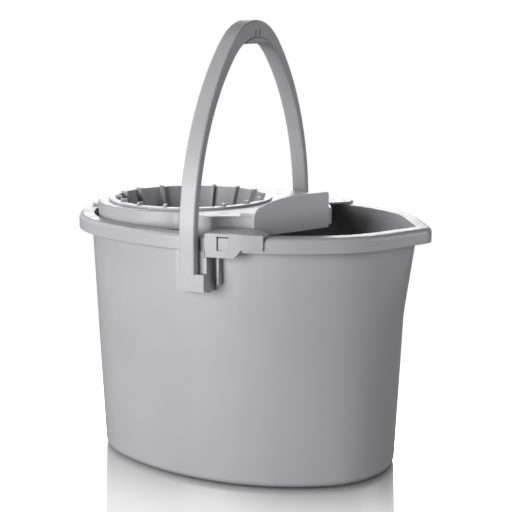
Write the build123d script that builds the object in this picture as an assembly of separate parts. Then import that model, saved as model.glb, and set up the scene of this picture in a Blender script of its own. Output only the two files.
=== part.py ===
from build123d import *
from math import acos, atan2, cos, pi, radians, sin, sqrt
import os

# Bucket shell, all sizes in millimetres
bucket_height = 270.0
rim_half_length = 195.0
rim_half_width = 139.5
back_end_radius = 123.5
front_end_radius = 116.0
wall = 2.5
floor_thickness = 3.0
rim_overhang = 13.8
rim_depth = 15.5
rim_edge_radius = 5.0
wall_draft = 10.4
base_edge_radius = 8.0
foot_ring_width = 14.0
foot_ring_height = 1.5

# Pouring spout at the +X end
spout_reach = 13.5
spout_inner_radius = 4.0
spout_flare_depth = 105.0

# Handle pivot on each long side
pivot_x = 0.0
pivot_drop = 23.7
peg_radius = 6.0
peg_length = 7.5
peg_clearance = 0.05
bracket_stand_off = 1.8
bracket_back = 14.0
bracket_front = 21.0
bracket_drop = 34.3
bracket_wall = 3.0
stop_block_back = 4.0
stop_block_height = 18.0
stop_block_depth = 7.0
stop_gap = 0.3
guide_rib_gap = 5.5
guide_rib_width = 2.5
guide_rib_depth = 7.0
guide_rib_length = 35.5

# Bail handle, an arched strap
handle_rise = 210.0
handle_offset = 3.9
strap_width = 17.4
leg_thickness = 10.0
leg_gap = 0.7
leg_straight = 11.8
crown_radius = 88.0
crown_thickness = 18.6
foot_drop = 14.0
bore_end_gap = 0.6
strap_edge_radius = 1.8

# Palm grip in the underside of the strap
grip_half_length = 27.0
grip_end_height = 2.1
grip_tongue_height = 8.6
grip_tongue_width = 11.0
grip_clearance = 0.2
grip_edge_radius = 1.2
grip_window_spacing = 10.0
grip_window_width = 2.2
grip_window_height = 7.0
finger_groove_count = 4
finger_groove_radius = 6.0
finger_groove_depth = 1.2

# Wringing basket
basket_lip_width = 5.5
basket_lip_thickness = 2.2
basket_mouth_radius = 86.0
basket_foot_radius = 50.0
basket_depth = 108.0
basket_wall = 2.5
basket_seat_clearance = 0.5
rib_count = 16
first_rib_angle = 8.0
rib_thickness = 2.6
rib_depth = 6.0
rib_nub_height = 2.2
drain_slot_width = 8.0
drain_slot_rise = 10.0
drain_slot_length = 50.0
floor_hole_radius = 5.0
floor_hole_inset = 18.0
floor_hole_count = 8

# Wringer frame
deck_rise = 14.0
deck_thickness = 2.5
deck_margin = 12.0
deck_edge_radius = 1.2
skirt_wall = 2.4
skirt_depth = 18.0
skirt_gap = 5.5
shoulder_angle = 70.0
corner_ahead = 8.0
corner_gap = 15.2
corner_radius = 7.0
waist_run = 44.0
waist_step = 16.0
waist_hollow = 2.5
nose_run = 48.0
nose_round = 14.0
bead_length = 16.0
bead_height = 3.4
bead_width = 3.0
rim_seat_gap = 0.3
clip_plate = 2.5
clip_gap = 0.4
clip_wall = 2.0
clip_ahead = 19.0
clip_length = 58.0
clip_deep_length = 30.0
clip_step_run = 7.0
clip_drop_deep = 21.0
clip_drop_shallow = 12.3
clip_room_gap = 0.6
rest_tab_half_width = 15.0
rest_tab_inset = 4.0

# Snap tongue in each clip
latch_setback = 13.5
latch_length = 10.5
latch_drop = 0.5
latch_height = 12.0
latch_slit = 1.2
latch_hinge_gap = 0.3

# Front guard plate
guard_thickness = 3.0
guard_rise = 18.0
guard_drop = 20.0
guard_lead = 4.6
guard_end_margin = 8.0
guard_near_radius = 12.0
guard_crest_radius = 156.0
guard_crest_start = 55.0
guard_far_radius = 3.5
guard_gap = 0.15
guard_peg_radius = 3.0
guard_peg_clearance = 0.1
guard_peg_places = (0.3, 0.7)

rim_centre_x = -spout_reach / 2
outer_nose_radius = spout_inner_radius + wall + rim_overhang
nose_centre_x = rim_half_length + spout_reach - outer_nose_radius
front_centre_x = rim_half_length - front_end_radius
nose_angle = acos((front_end_radius - outer_nose_radius) / (nose_centre_x - front_centre_x))
rim_underside = bucket_height - rim_depth
mouth_inset = rim_overhang + wall

pivot_height = bucket_height - pivot_drop
bracket_face = rim_half_width + bracket_stand_off
bracket_bottom = pivot_height - bracket_drop
leg_inner = bracket_face + leg_gap
leg_outer = leg_inner + leg_thickness
foot_height = pivot_height - foot_drop

handle_top = bucket_height + handle_rise
handle_x = pivot_x + handle_offset
crown_underside = handle_top - crown_thickness
shoulder_height = pivot_height + leg_straight
grip_top = crown_underside + grip_tongue_height
grip_sag = crown_radius - sqrt(crown_radius**2 - grip_half_length**2)
grip_bottom = crown_underside - grip_sag - grip_end_height

deck_height = bucket_height + deck_rise
deck_underside = deck_height - deck_thickness
skirt_bottom = deck_height - skirt_depth
lip_radius = basket_mouth_radius + basket_lip_width
deck_radius = lip_radius + deck_margin
ring_x = deck_radius + skirt_gap + mouth_inset - rim_half_length
basket_bottom = deck_height - basket_depth
corner_x = pivot_x + corner_ahead
corner_y = rim_half_width - mouth_inset - corner_gap
waist_x = corner_x + waist_run
waist_y = corner_y - waist_step
deck_nose_x = waist_x + nose_run
seat_height = bucket_height + rim_seat_gap
clip_top = seat_height + clip_plate
clip_back_x = pivot_x + clip_ahead
clip_front_x = clip_back_x + clip_length
clip_step_x = clip_back_x + clip_deep_length
clip_bottom = bucket_height - clip_drop_deep
clip_front_bottom = bucket_height - clip_drop_shallow
latch_back_x = clip_back_x + latch_setback
latch_front_x = latch_back_x + latch_length
latch_top = bucket_height - latch_drop
latch_bottom = latch_top - latch_height
far_away = 4 * rim_half_length


def arc(centre, radius, start, end):
    angles = (start, (start + end) / 2, end)
    points = [(centre[0] + radius * cos(a), centre[1] + radius * sin(a)) for a in angles]
    return ThreePointArc(*points)


def end_curve(end_radius, inset):
    """Centre distance, radius and side-arc data of one rounded end of the oval."""
    reach = rim_half_length - end_radius
    radius = end_radius - inset
    width = rim_half_width - inset
    side = (reach**2 + width**2 - radius**2) / (2 * (width - radius))
    lean = atan2(side - width, reach)
    return reach, radius, side, lean


def outline(inset, spout=False):
    """Plan of the bucket at a given distance inside the rim edge."""
    width = rim_half_width - inset
    front, front_radius, front_side, front_lean = end_curve(front_end_radius, inset)
    back, back_radius, back_side, back_lean = end_curve(back_end_radius, inset)
    split = nose_angle / 3
    edges = [arc((front, 0), front_radius, -front_lean, -nose_angle)]
    if spout:
        tip_radius = outer_nose_radius - inset
        on_end = (front + front_radius * cos(nose_angle), front_radius * sin(nose_angle))
        on_tip = (nose_centre_x + tip_radius * cos(nose_angle), tip_radius * sin(nose_angle))
        edges.append(Line((on_end[0], -on_end[1]), (on_tip[0], -on_tip[1])))
        edges.append(arc((nose_centre_x, 0), tip_radius, -nose_angle, nose_angle))
        edges.append(Line(on_tip, on_end))
    else:
        for start, end in ((-nose_angle, -split), (-split, split), (split, nose_angle)):
            edges.append(arc((front, 0), front_radius, start, end))
    edges.append(arc((front, 0), front_radius, nose_angle, front_lean))
    edges.append(arc((0, width - front_side), front_side, front_lean, pi / 2))
    edges.append(arc((0, width - back_side), back_side, pi / 2, pi - back_lean))
    edges.append(arc((-back, 0), back_radius, pi - back_lean, pi + back_lean))
    edges.append(arc((0, back_side - width), back_side, pi + back_lean, 3 * pi / 2))
    edges.append(arc((0, front_side - width), front_side, 3 * pi / 2, 2 * pi - front_lean))
    return make_face(edges)


def wall_inset(height):
    return rim_overhang + wall_draft * (1 - height / bucket_height)


def tapered_body(bottom, extra):
    """Solid inside the drafted wall, from a height up to the rim, with the spout flaring out."""
    flare_start = bucket_height - spout_flare_depth
    sections = [
        Pos(0, 0, bottom) * outline(wall_inset(bottom) + extra),
        Pos(0, 0, flare_start) * outline(wall_inset(flare_start) + extra),
        Pos(0, 0, bucket_height) * outline(wall_inset(bucket_height) + extra, spout=True),
    ]
    return loft(sections, ruled=True)


def span_box(x_range, y_range, z_range):
    centre = [(a + b) / 2 for a, b in (x_range, y_range, z_range)]
    size = [abs(b - a) for a, b in (x_range, y_range, z_range)]
    return Pos(*centre) * Box(*size)


def y_cylinder(x, z, radius, y_range):
    length = y_range[1] - y_range[0]
    centre = (y_range[0] + y_range[1]) / 2
    return Pos(x, centre, z) * Rot(90, 0, 0) * Cylinder(radius, length)


def both_sides(shape):
    return shape + mirror(shape, about=Plane.XZ)


def rim_flange():
    """Turned-down rim: a rounded top plate with a hanging skirt."""
    rim = extrude(Pos(0, 0, rim_underside) * outline(0, spout=True), rim_depth)
    rim = fillet(rim.faces().sort_by(Axis.Z)[-1].edges(), rim_edge_radius)
    groove = outline(wall, spout=True) - outline(rim_overhang, spout=True)
    return rim - extrude(Pos(0, 0, rim_underside) * groove, rim_depth - wall)


def pivot_bracket():
    """Hollow bracket under the rim on the +Y side, with the stop block, a guide rib and the peg."""
    back = pivot_x - bracket_back
    front = pivot_x + bracket_front
    wall_face = rim_half_width - wall_inset(bracket_bottom)
    inside = wall_face - wall
    shell = span_box((back, front), (inside, bracket_face), (bracket_bottom, rim_underside))
    pocket = span_box(
        (back + bracket_wall, front - bracket_wall),
        (inside, bracket_face - bracket_wall),
        (bracket_bottom - bracket_wall, rim_underside - bracket_wall),
    )
    block_top = foot_height - stop_gap
    block = span_box(
        (pivot_x + stop_block_back, front),
        (bracket_face - bracket_wall, bracket_face + stop_block_depth),
        (block_top - stop_block_height, block_top),
    )
    rib_start = front + guide_rib_gap
    rib = span_box(
        (rib_start, rib_start + guide_rib_width),
        (inside, wall_face + guide_rib_depth),
        (rim_underside - guide_rib_length, rim_underside),
    )
    clip_room = span_box(
        (clip_back_x - clip_room_gap, rib_start + guide_rib_width),
        (rim_half_width - rim_edge_radius, far_away),
        (clip_bottom - clip_room_gap, rim_underside),
    )
    peg = y_cylinder(pivot_x, pivot_height, peg_radius, (bracket_face - bracket_wall, bracket_face + peg_length))
    return shell - pocket - clip_room + block + rib + peg


def make_bucket():
    outer = tapered_body(0, 0)
    outer = fillet(outer.faces().sort_by(Axis.Z)[0].edges(), base_edge_radius)
    body = outer + rim_flange() + both_sides(pivot_bracket())
    body -= tapered_body(floor_thickness + foot_ring_height, wall)
    recess = outline(wall_inset(0) + base_edge_radius + foot_ring_width)
    return body - extrude(recess, foot_ring_height)


def arch_edges(half_span, top):
    """Right shoulder, crown and left shoulder of the arch, tangent to each other, in Y and Z."""
    rise = top - crown_radius - shoulder_height
    shoulder_radius = (rise**2 + half_span**2 - crown_radius**2) / (2 * (half_span - crown_radius))
    run = shoulder_radius - half_span
    turn = atan2(rise, run)
    return [
        arc((-run, shoulder_height), shoulder_radius, 0, turn),
        arc((0, shoulder_height + rise), crown_radius, turn, pi - turn),
        arc((run, shoulder_height), shoulder_radius, pi - turn, pi),
    ]


def arch_fill(half_span, top, width):
    """Solid block under one line of the arch, down to the feet."""
    edges = arch_edges(half_span, top)
    edges.append(Polyline((-half_span, shoulder_height), (-half_span, foot_height),
                          (half_span, foot_height), (half_span, shoulder_height)))
    face = Plane.YZ * make_face(edges)
    return Pos(handle_x, 0, 0) * extrude(face, width / 2, both=True)


def make_handle():
    strap = arch_fill(leg_outer, handle_top, strap_width)
    strap -= arch_fill(leg_inner, crown_underside, 2 * strap_width)
    side_faces = strap.faces().filter_by(Axis.X)
    rims = side_faces[0].edges() + side_faces[1].edges()
    strap = fillet([e for e in rims if e.center().Z > foot_height + strap_edge_radius], strap_edge_radius)
    heel = span_box((pivot_x - strap_width, pivot_x), (-far_away, far_away), (foot_height - wall, pivot_height))
    heel -= y_cylinder(pivot_x, pivot_height, foot_drop, (-far_away, far_away))
    bore = y_cylinder(pivot_x, pivot_height, peg_radius + peg_clearance,
                      (leg_inner - leg_thickness, bracket_face + peg_length + bore_end_gap))
    pocket = span_box(
        (handle_x - grip_tongue_width / 2, handle_x + grip_tongue_width / 2),
        (-grip_half_length, grip_half_length),
        (grip_bottom, grip_top),
    )
    window = span_box(
        (handle_x - strap_width, handle_x + strap_width),
        (grip_window_spacing / 2 - grip_window_width / 2, grip_window_spacing / 2 + grip_window_width / 2),
        (grip_top - grip_window_height, grip_top),
    )
    return strap - heel - both_sides(bore) - pocket - both_sides(window)


def make_grip():
    under_arch = arch_fill(leg_inner - grip_clearance, crown_underside - grip_clearance, strap_width)
    palm = under_arch & span_box((-far_away, far_away), (-grip_half_length, grip_half_length),
                                 (grip_bottom, handle_top))
    palm = fillet(palm.faces().sort_by(Axis.Z)[0].edges().filter_by(Axis.Y), grip_edge_radius)
    tongue = span_box(
        (handle_x - grip_tongue_width / 2 + grip_clearance, handle_x + grip_tongue_width / 2 - grip_clearance),
        (-grip_half_length + grip_clearance, grip_half_length - grip_clearance),
        (crown_underside - grip_sag, grip_top - grip_clearance),
    )
    grip = palm + tongue
    pitch = 2 * grip_half_length / finger_groove_count
    for i in range(finger_groove_count):
        groove = Rot(0, 90, 0) * Cylinder(finger_groove_radius, far_away)
        y = -grip_half_length + pitch * (i + 0.5)
        grip -= Pos(0, y, grip_bottom - finger_groove_radius + finger_groove_depth) * groove
    return grip


def platform():
    """Plan of the raised deck: round the ring, a waist beside the clips and a blunt nose."""
    turn = radians(shoulder_angle)
    shoulder = (ring_x + deck_radius * cos(turn), deck_radius * sin(turn))
    edges = [arc((ring_x, 0), deck_radius, turn, 2 * pi - turn)]
    for side in (1, -1):
        corner = (corner_x, side * corner_y)
        waist = (waist_x, side * waist_y)
        edges.append(Line((shoulder[0], side * shoulder[1]), corner))
        edges.append(SagittaArc(corner, waist, -side * waist_hollow))
        edges.append(Line(waist, (deck_nose_x, 0)))
    face = make_face(edges)
    nose = face.vertices().sort_by(Axis.X)[-1]
    face = fillet(nose, nose_round)
    corners = [v for v in face.vertices() if abs(v.X - corner_x) < clip_gap]
    return fillet(corners, corner_radius)


def clip_profile(start, end, bottom, top):
    """Side view of a hanging wall, with its lower edge stepped up towards the front of the clip."""
    points = [(start, top), (start, bottom)]
    if end > clip_step_x + clip_step_run:
        points += [(clip_step_x, bottom), (clip_step_x + clip_step_run, clip_front_bottom)]
        points += [(end, clip_front_bottom)]
    else:
        points += [(end, bottom)]
    points.append((end, top))
    face = Plane.XZ * make_face(Polyline(*points, close=True))
    return extrude(face, far_away, dir=(0, 1, 0))


def clip_wall_band(bottom, top):
    band = outline(-clip_gap - clip_wall) - outline(-clip_gap)
    return extrude(Pos(0, 0, bottom) * band, top - bottom)


def clip_arm():
    """Plan of the plate that reaches from the deck over the rim on the +Y side."""
    lead = clip_front_x - waist_x
    return outline(-clip_gap - clip_wall) & make_face(Polyline(
        (clip_back_x, waist_y - corner_radius),
        (waist_x, waist_y),
        (clip_front_x, waist_y + lead),
        (clip_front_x, far_away),
        (clip_back_x, far_away),
        close=True,
    ))


def make_clip():
    """One clip on the +Y side: a plate over the rim and a wall that hangs outside it."""
    arm = clip_arm() - offset(platform(), -skirt_wall / 2)
    plate = extrude(Pos(0, 0, seat_height) * arm, clip_plate)
    hanging = clip_wall_band(clip_bottom, clip_top)
    hanging &= clip_profile(clip_back_x, clip_front_x, clip_bottom, clip_top)
    window = span_box(
        (latch_back_x - latch_slit, latch_front_x + latch_hinge_gap),
        (rim_half_width - rim_overhang, far_away),
        (latch_bottom - latch_slit, latch_top + latch_slit),
    )
    return plate + hanging - (window - span_box((-far_away, far_away), (0, far_away), (seat_height, far_away)))


def make_latch():
    tongue = clip_wall_band(latch_bottom, latch_top)
    return tongue & clip_profile(latch_back_x, latch_front_x, latch_bottom, latch_top)


def guard_frame():
    """Workplane on the near front face of the deck: X along the face, Y up, Z outwards."""
    along = Vector(deck_nose_x - waist_x, waist_y, 0)
    outward = Vector(along.Y, -along.X, 0)
    return Plane(origin=(waist_x, -waist_y, 0), x_dir=along, z_dir=outward), along.length


def guard_pegs(radius, depth):
    face, length = guard_frame()
    height = (skirt_bottom + deck_underside) / 2
    pegs = [Pos(length * share, height, 0) * Circle(radius) for share in guard_peg_places]
    return [extrude(face * peg, depth, both=True) for peg in pegs]


def guard_outline():
    """Plate with a square far end and a near end that rounds up into a long crest."""
    length = guard_frame()[1]
    near = -guard_lead
    far = length - guard_end_margin
    bottom = deck_height - guard_drop
    top = deck_height + guard_rise
    corner_s = near + guard_near_radius
    crest_run = guard_crest_start - corner_s
    crest_rise = sqrt((guard_crest_radius - guard_near_radius) ** 2 - crest_run**2)
    corner_z = top - guard_crest_radius + crest_rise
    turn = pi - atan2(crest_rise, crest_run)
    edges = [
        arc((corner_s, corner_z), guard_near_radius, turn, pi),
        arc((guard_crest_start, top - guard_crest_radius), guard_crest_radius, pi / 2, turn),
        Polyline((near, corner_z), (near, bottom), (far, bottom), (far, top), (guard_crest_start, top)),
    ]
    plate = make_face(edges)
    far_corner = plate.vertices().group_by(Axis.Y)[-1].sort_by(Axis.X)[-1]
    return fillet(far_corner, guard_far_radius)


def deck_bead(plan):
    """Low lip along the near edge of the deck, running back from the guard."""
    band = plan - offset(plan, -bead_width)
    bead = extrude(Pos(0, 0, deck_height) * band, bead_height)
    return bead & span_box((waist_x - bead_length, waist_x), (-corner_y, -waist_y / 2), (0, far_away))


def make_frame():
    plan = platform()
    deck = extrude(Pos(0, 0, skirt_bottom) * plan, skirt_depth)
    deck = fillet(deck.faces().sort_by(Axis.Z)[-1].edges(), deck_edge_radius)
    deck -= extrude(Pos(0, 0, skirt_bottom) * offset(plan, -skirt_wall), skirt_depth - deck_thickness)
    back_edge = ring_x - deck_radius
    tab = span_box(
        (-rim_half_length + rest_tab_inset, back_edge + skirt_wall / 2),
        (-rest_tab_half_width, rest_tab_half_width),
        (seat_height, clip_top),
    )
    mouth = Pos(ring_x, 0, deck_height) * Cylinder(basket_mouth_radius + basket_seat_clearance, 2 * skirt_depth)
    frame = deck + tab + deck_bead(plan) - mouth + both_sides(make_clip())
    for hole in guard_pegs(guard_peg_radius + guard_peg_clearance, 2 * skirt_wall):
        frame -= hole
    return frame


def make_guard():
    face = guard_frame()[0].offset(guard_gap)
    plate = guard_outline()
    guard = extrude(face * plate, guard_thickness)
    reach = skirt_wall + guard_gap
    for peg in guard_pegs(guard_peg_radius, reach):
        guard += peg & extrude(face * plate, -reach)
    arm_room = offset(mirror(clip_arm(), about=Plane.XZ), rim_seat_gap)
    return guard - extrude(arm_room, clip_top + rim_seat_gap)


def basket_radius(height):
    share = (height - basket_bottom) / basket_depth
    return basket_foot_radius + share * (basket_mouth_radius - basket_foot_radius)


def ring_pattern(shape, count, first):
    return [Rot(0, 0, first + i * 360 / count) * shape for i in range(count)]


def make_basket():
    lip_top = deck_height + basket_lip_thickness
    inner_floor = basket_bottom + basket_wall
    profile = Polyline(
        (0, basket_bottom),
        (basket_radius(basket_bottom), basket_bottom),
        (basket_mouth_radius, deck_height),
        (lip_radius, deck_height),
        (lip_radius, lip_top),
        (basket_mouth_radius - basket_wall, lip_top),
        (basket_radius(inner_floor) - basket_wall, inner_floor),
        (0, inner_floor),
        close=True,
    )
    basket = revolve(Plane.XZ * make_face(profile), Axis.Z)
    rib_top = lip_top + rib_nub_height
    inner_mouth = basket_mouth_radius - basket_wall
    inner_foot = basket_radius(inner_floor) - basket_wall
    overlap = basket_wall / 3
    rib = make_face(Polyline(
        (inner_mouth + overlap, lip_top),
        (inner_mouth + overlap, rib_top),
        (inner_mouth - rib_depth, rib_top),
        (inner_foot - rib_depth, inner_floor - overlap),
        (inner_foot + overlap, inner_floor - overlap),
        close=True,
    ))
    rib = extrude(Plane.XZ * rib, rib_thickness / 2, both=True)
    basket += ring_pattern(rib, rib_count, first_rib_angle)
    slot_bottom = basket_bottom + drain_slot_rise
    slot = span_box(
        (basket_foot_radius - rib_depth, lip_radius),
        (-drain_slot_width / 2, drain_slot_width / 2),
        (slot_bottom, slot_bottom + drain_slot_length),
    )
    basket -= ring_pattern(slot, rib_count, first_rib_angle + 180 / rib_count)
    hole = Pos(basket_foot_radius - floor_hole_inset, 0, inner_floor) * Cylinder(floor_hole_radius, 4 * basket_wall)
    basket -= ring_pattern(hole, floor_hole_count, first_rib_angle + 180 / rib_count)
    return Pos(ring_x, 0, 0) * basket


far_latch = make_latch()
pieces = {
    "bucket": make_bucket(),
    "bail_handle": make_handle(),
    "handle_grip": make_grip(),
    "wringer_frame": make_frame(),
    "wringer_basket": make_basket(),
    "front_guard": make_guard(),
    "far_latch": far_latch,
    "near_latch": mirror(far_latch, about=Plane.XZ),
}

os.makedirs("parts", exist_ok=True)
for name, shape in pieces.items():
    export_step(Pos(rim_centre_x, 0, 0) * shape, f"parts/{name}.step")
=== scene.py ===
from math import cos, radians, sin

import bpy
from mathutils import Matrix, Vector


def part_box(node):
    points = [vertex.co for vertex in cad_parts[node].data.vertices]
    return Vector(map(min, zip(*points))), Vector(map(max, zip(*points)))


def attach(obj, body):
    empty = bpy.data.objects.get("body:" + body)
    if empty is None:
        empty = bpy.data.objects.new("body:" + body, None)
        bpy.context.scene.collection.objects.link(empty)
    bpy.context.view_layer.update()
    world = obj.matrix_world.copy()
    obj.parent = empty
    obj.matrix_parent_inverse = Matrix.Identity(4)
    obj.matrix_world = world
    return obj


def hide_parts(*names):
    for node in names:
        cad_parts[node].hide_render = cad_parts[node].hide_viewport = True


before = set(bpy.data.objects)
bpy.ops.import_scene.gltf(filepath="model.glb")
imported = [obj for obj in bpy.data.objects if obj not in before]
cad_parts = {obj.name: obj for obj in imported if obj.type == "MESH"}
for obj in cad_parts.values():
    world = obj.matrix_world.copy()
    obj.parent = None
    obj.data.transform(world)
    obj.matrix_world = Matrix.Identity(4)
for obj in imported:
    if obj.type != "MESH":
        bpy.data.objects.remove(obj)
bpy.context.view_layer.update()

mm = 0.001
print("frame loaded:", ", ".join(sorted(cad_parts)))


# Small helpers for the node trees

def addNode(tree, kind, **values):
    node = tree.nodes.new(kind)
    for name, value in values.items():
        setattr(node, name, value)
    return node


def noiseOn(tree, coordinates, scale, detail):
    noise = addNode(tree, "ShaderNodeTexNoise")
    noise.inputs["Scale"].default_value = scale
    noise.inputs["Detail"].default_value = detail
    tree.links.new(coordinates, noise.inputs["Vector"])
    return noise.outputs["Fac"]


def spread(tree, value, low, high, fromLow=0.3, fromHigh=0.7):  # most noise lies in 0.3 to 0.7
    ramp = addNode(tree, "ShaderNodeMapRange")
    ramp.inputs["From Min"].default_value = fromLow
    ramp.inputs["From Max"].default_value = fromHigh
    ramp.inputs["To Min"].default_value = low
    ramp.inputs["To Max"].default_value = high
    tree.links.new(value, ramp.inputs["Value"])
    return ramp.outputs["Result"]


# Silver grey moulded plastic, one finish for each moulding

bucketFinish = {
    "name": "bucket_satin_plastic",
    "light": (0.405, 0.405, 0.418),
    "dark": (0.375, 0.375, 0.388),
    "roughness": (0.36, 0.44),
    "ior": 1.5,
    "cloudScale": 9.0,
    "cloudDetail": 3.0,
    "sheenFineness": 6,    # sheen spots are so much finer than the colour clouds
    "sheenDetail": 2.0,
    "grainScale": 900.0,
    "grainDetail": 1.0,
    "grainDepth": 0.05,
    "grainHeight": 0.3,    # mm
}
handleFinish = dict(bucketFinish, name="handle_satin_plastic", cloudScale=14.0)
wringerFinish = dict(bucketFinish, name="wringer_satin_plastic", cloudScale=12.0)


def mouldedPlastic(look):
    material = bpy.data.materials.new(look["name"])
    material.use_nodes = True
    tree = material.node_tree
    shader = tree.nodes["Principled BSDF"]
    shader.inputs["IOR"].default_value = look["ior"]
    where = addNode(tree, "ShaderNodeTexCoord").outputs["Object"]
    clouds = noiseOn(tree, where, look["cloudScale"], look["cloudDetail"])
    colour = addNode(tree, "ShaderNodeMix", data_type="RGBA")
    colour.inputs["A"].default_value = (*look["dark"], 1.0)
    colour.inputs["B"].default_value = (*look["light"], 1.0)
    tree.links.new(spread(tree, clouds, 0.0, 1.0), colour.inputs["Factor"])
    tree.links.new(colour.outputs["Result"], shader.inputs["Base Color"])
    sheenScale = look["cloudScale"] * look["sheenFineness"]
    sheenSpots = noiseOn(tree, where, sheenScale, look["sheenDetail"])
    tree.links.new(spread(tree, sheenSpots, *look["roughness"]), shader.inputs["Roughness"])
    grain = noiseOn(tree, where, look["grainScale"], look["grainDetail"])
    bump = addNode(tree, "ShaderNodeBump")
    bump.inputs["Strength"].default_value = look["grainDepth"]
    bump.inputs["Distance"].default_value = look["grainHeight"] * mm
    tree.links.new(grain, bump.inputs["Height"])
    tree.links.new(bump.outputs["Normal"], shader.inputs["Normal"])
    return material


# Every moulding is its CAD shape with the edges softened as a mould leaves them

finishes = {
    "bucket_plastic": mouldedPlastic(bucketFinish),
    "handle_plastic": mouldedPlastic(handleFinish),
    "wringer_plastic": mouldedPlastic(wringerFinish),
}
print("finishes mixed:", ", ".join(finishes))

# soft is the width of the rounded edges in mm
mouldings = {
    "bucket": {
        "piece": "bucket_shell", "body": "bucket", "slot": "bucket_plastic", "soft": 0.5,
    },
    "bail_handle": {
        "piece": "handle_strap", "body": "handle", "slot": "handle_plastic", "soft": 0.7,
    },
    "handle_grip": {
        "piece": "palm_grip", "body": "handle", "slot": "handle_plastic", "soft": 0.3,
    },
    "wringer_frame": {
        "piece": "wringer_deck", "body": "wringer", "slot": "wringer_plastic", "soft": 0.5,
    },
    "wringer_basket": {
        "piece": "wringing_basket", "body": "wringer", "slot": "wringer_plastic", "soft": 0.3,
    },
    "front_guard": {
        "piece": "guard_plate", "body": "wringer", "slot": "wringer_plastic", "soft": 0.6,
    },
    "near_latch": {
        "piece": "near_snap_tongue", "body": "near_latch", "slot": "wringer_plastic", "soft": 0.3,
    },
    "far_latch": {
        "piece": "far_snap_tongue", "body": "far_latch", "slot": "wringer_plastic", "soft": 0.3,
    },
}
edges = {
    "merge": 0.01,      # mm, points closer than this become one
    "flat": 0.5,        # degrees, faces that turn less than this become one
    "segments": 2,
    "sharp": 40,        # degrees, edges that turn more than this are rounded
    "smooth": 35,       # degrees, edges that turn less than this are shaded smooth
    "evenness": 50,     # weight of the large faces in the shading
}

# The snap tongues are reshaped so that the slit round them reads as a hook, sizes in mm
tongueShape = {
    "hingeReach": 0.9,  # over the web
    "backSlit": 0.8,
    "topSlit": 0.5,
    "webFrom": 0.45,    # share of its length where the lower slit ends
    "webReach": 1.5,
    "pick": 0.2,        # points this close to an end move with it
}


def pull(piece, picked, by):
    bpy.ops.object.mode_set(mode="EDIT")
    bpy.ops.mesh.select_mode(type="VERT")
    bpy.ops.mesh.select_all(action="DESELECT")
    bpy.ops.object.mode_set(mode="OBJECT")
    for point in piece.data.vertices:
        point.select = picked(point.co)
    bpy.ops.object.mode_set(mode="EDIT")
    bpy.ops.transform.translate(value=[step * mm for step in by])
    bpy.ops.object.mode_set(mode="OBJECT")


def shapeTongue(piece, node, look):
    low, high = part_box(node)
    webFrom = low[0] + (high[0] - low[0]) * look["webFrom"]
    near = look["pick"] * mm
    pull(piece, lambda at: at[2] < low[2] + near and at[0] > webFrom, (0, 0, -look["webReach"]))
    pull(piece, lambda at: at[2] > high[2] - near, (0, 0, -look["topSlit"]))
    pull(piece, lambda at: at[0] < low[0] + near, (look["backSlit"], 0, 0))
    pull(piece, lambda at: at[0] > high[0] - near, (look["hingeReach"], 0, 0))


def softenedMoulding(node, build, material):
    bpy.ops.object.select_all(action="DESELECT")
    piece = bpy.data.objects.new(build["piece"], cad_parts[node].data.copy())
    bpy.context.scene.collection.objects.link(piece)
    bpy.context.view_layer.objects.active = piece
    piece.select_set(True)
    bpy.ops.object.mode_set(mode="EDIT")
    bpy.ops.mesh.select_all(action="SELECT")
    bpy.ops.mesh.remove_doubles(threshold=edges["merge"] * mm)
    bpy.ops.mesh.dissolve_limited(angle_limit=radians(edges["flat"]))
    bpy.ops.object.mode_set(mode="OBJECT")
    if node.endswith("latch"):
        shapeTongue(piece, node, tongueShape)
    bevel = piece.modifiers.new("soft_edges", "BEVEL")
    bevel.width = build["soft"] * mm
    bevel.segments = edges["segments"]
    bevel.limit_method = "ANGLE"
    bevel.angle_limit = radians(edges["sharp"])
    bevel.use_clamp_overlap = True
    bpy.ops.object.modifier_apply(modifier="soft_edges")
    bpy.ops.object.shade_smooth_by_angle(angle=radians(edges["smooth"]))
    even = piece.modifiers.new("even_shading", "WEIGHTED_NORMAL")
    even.keep_sharp = True
    even.weight = edges["evenness"]
    bpy.ops.object.modifier_apply(modifier="even_shading")
    piece.data.materials.clear()
    piece.data.materials.append(material)
    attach(piece, build["body"])
    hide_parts(node)


for node, build in mouldings.items():
    softenedMoulding(node, build, finishes[build["slot"]])
    print("moulding", node, "->", build["piece"])


# The camera stands where the photograph was taken from

view = {
    "at": (516.35 * mm, -1131.6 * mm, 473.0 * mm),
    "turn": 24.81,
    "tilt": 11.35,
    "lens": 80.41,
    "shiftX": 0.0172,
}


def placeCamera(look):
    data = bpy.data.cameras.new("photo_camera")
    data.lens = look["lens"]
    data.shift_x = look["shiftX"]
    camera = bpy.data.objects.new("photo_camera", data)
    bpy.context.scene.collection.objects.link(camera)
    camera.location = look["at"]
    camera.rotation_euler = (radians(90 - look["tilt"]), 0, radians(look["turn"]))
    bpy.context.scene.camera = camera


placeCamera(view)
bpy.context.scene.view_settings.view_transform = "Standard"
print("camera placed")


# White floor that mirrors the bucket close to its foot, in a white room

floorLook = {
    "size": 12.0,
    "white": 1.0,
    "bounce": 0.2,      # what the floor gives back to the bucket
    "mirror": 0.97,     # share of the mirror image at the foot
    "tint": 0.75,       # how much of the mirror image comes back
    "blur": 0.0,        # a sharp mirror, because the room asks for singular rays
    "ovalWidth": 0.92,  # width of the fade's oval, as a share of the bucket's
    "fadeStart": 0.80,  # in half lengths of the bucket
    "fadeLength": 0.55,
    "fadeLengths": 6,   # after so many lengths the image is gone
    "lastShare": 0.003,
}


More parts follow.
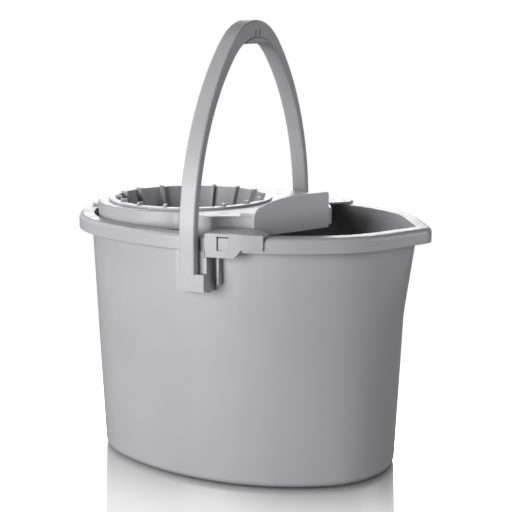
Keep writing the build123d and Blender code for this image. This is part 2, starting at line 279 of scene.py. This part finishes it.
def paleFloor(look):
    bpy.ops.object.select_all(action="DESELECT")
    bpy.ops.mesh.primitive_plane_add(size=look["size"])
    floor = bpy.context.object
    floor.name = "floor"
    material = bpy.data.materials.new("pale_floor")
    material.use_nodes = True
    tree = material.node_tree
    tree.nodes.clear()
    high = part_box("bucket")[1]
    where = addNode(tree, "ShaderNodeTexCoord").outputs["Object"]
    oval = addNode(tree, "ShaderNodeVectorMath", operation="DIVIDE")
    oval.inputs[1].default_value = (high[0], high[1] * look["ovalWidth"], 1.0)
    tree.links.new(where, oval.inputs[0])
    away = addNode(tree, "ShaderNodeVectorMath", operation="LENGTH")
    tree.links.new(oval.outputs["Vector"], away.inputs[0])
    count = look["fadeLengths"]
    farOff = look["fadeStart"] + count * look["fadeLength"]
    lengths = spread(tree, away.outputs["Value"], 0.0, -count, look["fadeStart"], farOff)
    dying = addNode(tree, "ShaderNodeMath", operation="EXPONENT")
    tree.links.new(lengths, dying.inputs[0])
    fade = spread(tree, dying.outputs["Value"], 0.0, look["mirror"], look["lastShare"], 1.0)
    shown = addNode(tree, "ShaderNodeEmission")
    shown.inputs["Strength"].default_value = look["white"]
    mirror = addNode(tree, "ShaderNodeBsdfGlossy")
    mirror.inputs["Roughness"].default_value = look["blur"]
    mirror.inputs["Color"].default_value = (look["tint"], look["tint"], look["tint"], 1.0)
    seen = addNode(tree, "ShaderNodeMixShader")
    tree.links.new(fade, seen.inputs["Fac"])
    tree.links.new(shown.outputs["Emission"], seen.inputs[1])
    tree.links.new(mirror.outputs["BSDF"], seen.inputs[2])
    bounce = addNode(tree, "ShaderNodeBsdfDiffuse")
    bounce.inputs["Color"].default_value = (look["bounce"], look["bounce"], look["bounce"], 1.0)
    path = addNode(tree, "ShaderNodeLightPath")
    choose = addNode(tree, "ShaderNodeMixShader")
    out = addNode(tree, "ShaderNodeOutputMaterial")
    tree.links.new(path.outputs["Is Camera Ray"], choose.inputs["Fac"])
    tree.links.new(bounce.outputs["BSDF"], choose.inputs[1])
    tree.links.new(seen.outputs["Shader"], choose.inputs[2])
    tree.links.new(choose.outputs["Shader"], out.inputs["Surface"])
    floor.data.materials.append(material)


paleFloor(floorLook)

room = {
    "colour": (1, 1, 1, 1),
    "shown": 1.0,                # what the camera and the floor see
    "fill": 0.01,                # what lights the bucket from all round
    "wall": 1.15,                # low white wall behind the bucket
    "towards": (-0.42, 0.9, 0),
    "edge": (0.6, 0.85),         # where the wall fades at its sides
    "height": (0.48, 0.62),      # and at its top
}


def whiteRoom(look):
    world = bpy.data.worlds.new("white_room")
    bpy.context.scene.world = world
    world.use_nodes = True
    tree = world.node_tree
    tree.nodes.clear()
    seen = addNode(tree, "ShaderNodeBackground")
    path = addNode(tree, "ShaderNodeLightPath")
    mirrored = path.outputs["Is Singular Ray"]
    untinted = look["shown"] / floorLook["tint"]  # makes up for the mirror's tint
    white = spread(tree, mirrored, look["shown"], untinted, 0.0, 1.0)
    tree.links.new(white, seen.inputs["Strength"])
    fill = addNode(tree, "ShaderNodeBackground")
    where = addNode(tree, "ShaderNodeTexCoord").outputs["Generated"]
    facing = addNode(tree, "ShaderNodeVectorMath", operation="DOT_PRODUCT")
    facing.inputs[1].default_value = look["towards"]
    tree.links.new(where, facing.inputs[0])
    sides = spread(tree, facing.outputs["Value"], 0.0, 1.0, *look["edge"])
    rise = addNode(tree, "ShaderNodeSeparateXYZ")
    tree.links.new(where, rise.inputs[0])
    low = spread(tree, rise.outputs["Z"], 1.0, 0.0, *look["height"])
    wall = addNode(tree, "ShaderNodeMath", operation="MULTIPLY")
    tree.links.new(sides, wall.inputs[0])
    tree.links.new(low, wall.inputs[1])
    strength = spread(tree, wall.outputs["Value"], look["fill"], look["wall"], 0.0, 1.0)
    tree.links.new(strength, fill.inputs["Strength"])
    choose = addNode(tree, "ShaderNodeMixShader")
    out = addNode(tree, "ShaderNodeOutputWorld")
    seen.inputs["Color"].default_value = look["colour"]
    fill.inputs["Color"].default_value = look["colour"]
    plain = addNode(tree, "ShaderNodeMath", operation="MAXIMUM")  # seen straight, or in the floor
    tree.links.new(path.outputs["Is Camera Ray"], plain.inputs[0])
    tree.links.new(mirrored, plain.inputs[1])
    tree.links.new(plain.outputs["Value"], choose.inputs["Fac"])
    tree.links.new(fill.outputs["Background"], choose.inputs[1])
    tree.links.new(seen.outputs["Background"], choose.inputs[2])
    tree.links.new(choose.outputs["Shader"], out.inputs["Surface"])


whiteRoom(room)

# Soft boxes stand in a ring round the bucket, each turned from the camera's side of it
ring = {"centre": (0, 0, 0.2), "radius": 1.8, "size": 1.0}
softBoxes = {
    "key_left": {"turn": -41, "rise": 9, "power": 39},
    "high_back_left": {"turn": -120, "rise": 38, "power": 9},
    "side_right": {"turn": 80, "rise": 8, "power": 13.5},
    "back": {"turn": 180, "rise": 8, "power": 14},
}


def softBox(name, look):
    light = bpy.data.lights.new(name, "AREA")
    light.shape = "SQUARE"
    light.size = ring["size"]
    light.energy = look["power"]
    lamp = bpy.data.objects.new(name, light)
    bpy.context.scene.collection.objects.link(lamp)
    around = radians(view["turn"] - 90 + look["turn"])
    rise = radians(look["rise"])
    away = Vector((cos(around) * cos(rise), sin(around) * cos(rise), sin(rise)))
    lamp.location = Vector(ring["centre"]) + away * ring["radius"]
    lamp.rotation_euler = away.to_track_quat("Z", "Y").to_euler()
    lamp.visible_camera = False


for name, look in softBoxes.items():
    softBox(name, look)
print("floor, room and lights placed")
